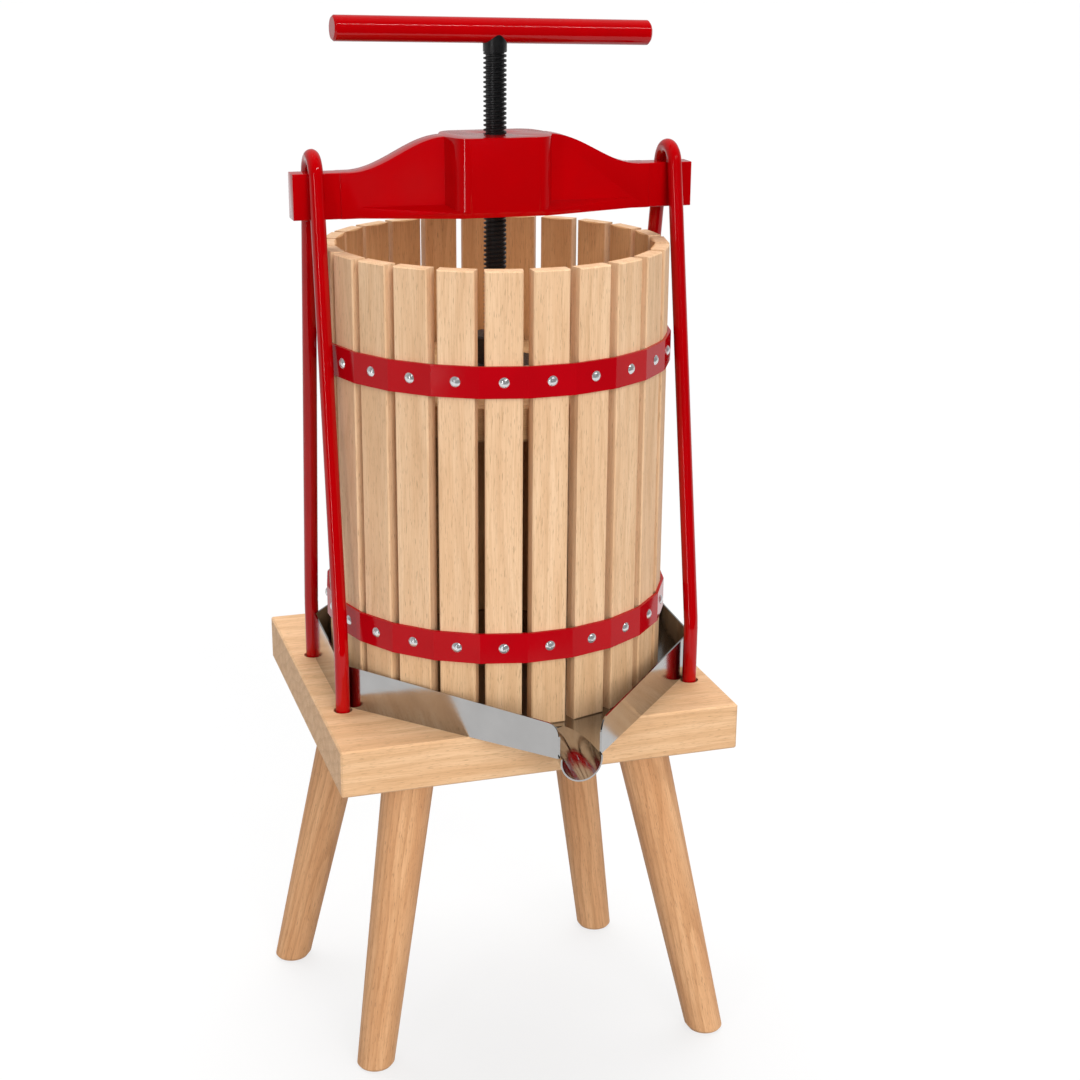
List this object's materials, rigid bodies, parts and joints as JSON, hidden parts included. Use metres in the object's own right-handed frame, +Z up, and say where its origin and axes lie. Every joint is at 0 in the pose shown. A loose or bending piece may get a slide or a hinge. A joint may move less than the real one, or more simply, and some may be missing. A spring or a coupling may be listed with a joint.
{
  "type": "fruit press",
  "caption": "Hand-turned screw press: slatted wooden basket in steel hoops on a spouted drip tray and stool, with a crossbeam, tie rods and a T-handled screw.",
  "frame": {"origin": "on the floor under the middle of the footprint, from the spout's lip to the stool's back edge", "axes": "+Z up along the screw, +X to the right along the crossbeam, -Y to the front where the spout is"},
  "size_m": [0.295, 0.3054, 0.7124],
  "materials": {
    "board_wood": "planed, bare",
    "leg_wood": "turned, bare",
    "stave_wood": "planed, bare",
    "disc_wood": "planed, bare",
    "red_paint": "gloss enamel",
    "black_steel": "blackened",
    "stainless": "polished sheet",
    "cast_iron": "turned",
    "zinc": "zinc plated"
  },
  "bodies": {
    "stand": {"stool_board": "board_wood", "leg_front_left": "leg_wood", "leg_front_right": "leg_wood", "leg_back_left": "leg_wood", "leg_back_right": "leg_wood", "tie_rod_left": "red_paint", "tie_rod_right": "red_paint", "rod_washers": "zinc", "rod_nuts": "zinc", "drip_tray": "stainless", "stave_01": "stave_wood", "stave_02": "stave_wood", "stave_03": "stave_wood", "stave_04": "stave_wood", "stave_05": "stave_wood", "stave_06": "stave_wood", "stave_07": "stave_wood", "stave_08": "stave_wood", "stave_09": "stave_wood", "stave_10": "stave_wood", "stave_11": "stave_wood", "stave_12": "stave_wood", "stave_13": "stave_wood", "stave_14": "stave_wood", "stave_15": "stave_wood", "stave_16": "stave_wood", "stave_17": "stave_wood", "stave_18": "stave_wood", "stave_19": "stave_wood", "stave_20": "stave_wood", "stave_21": "stave_wood", "stave_22": "stave_wood", "stave_23": "stave_wood", "stave_24": "stave_wood", "hoop_lower": "red_paint", "hoop_upper": "red_paint", "hoop_lower_screws": "zinc", "hoop_upper_screws": "zinc", "crossbeam": "red_paint"},
    "plate": {"press_disc": "disc_wood", "thrust_socket": "cast_iron", "socket_screws": "zinc"},
    "screw": {"press_screw": "black_steel", "handle_bar": "red_paint", "retaining_ring": "zinc"}
  },
  "joints": [
    {"name": "press_travel", "type": "slide", "parent": "stand", "child": "plate", "axis": [0, 0, -1], "range_m": [-0.0801, 0.0501]},
    {"name": "screw_turn", "type": "hinge", "parent": "plate", "child": "screw", "pos_m": [0, 0.01669, 0.541], "axis": [0, 0, -1], "range_deg": [-9600, 6000]}
  ],
  "couplings": [
    {"joint": "press_travel", "follows": "screw_turn", "m_per_rad": 0.00047746}
  ]
}
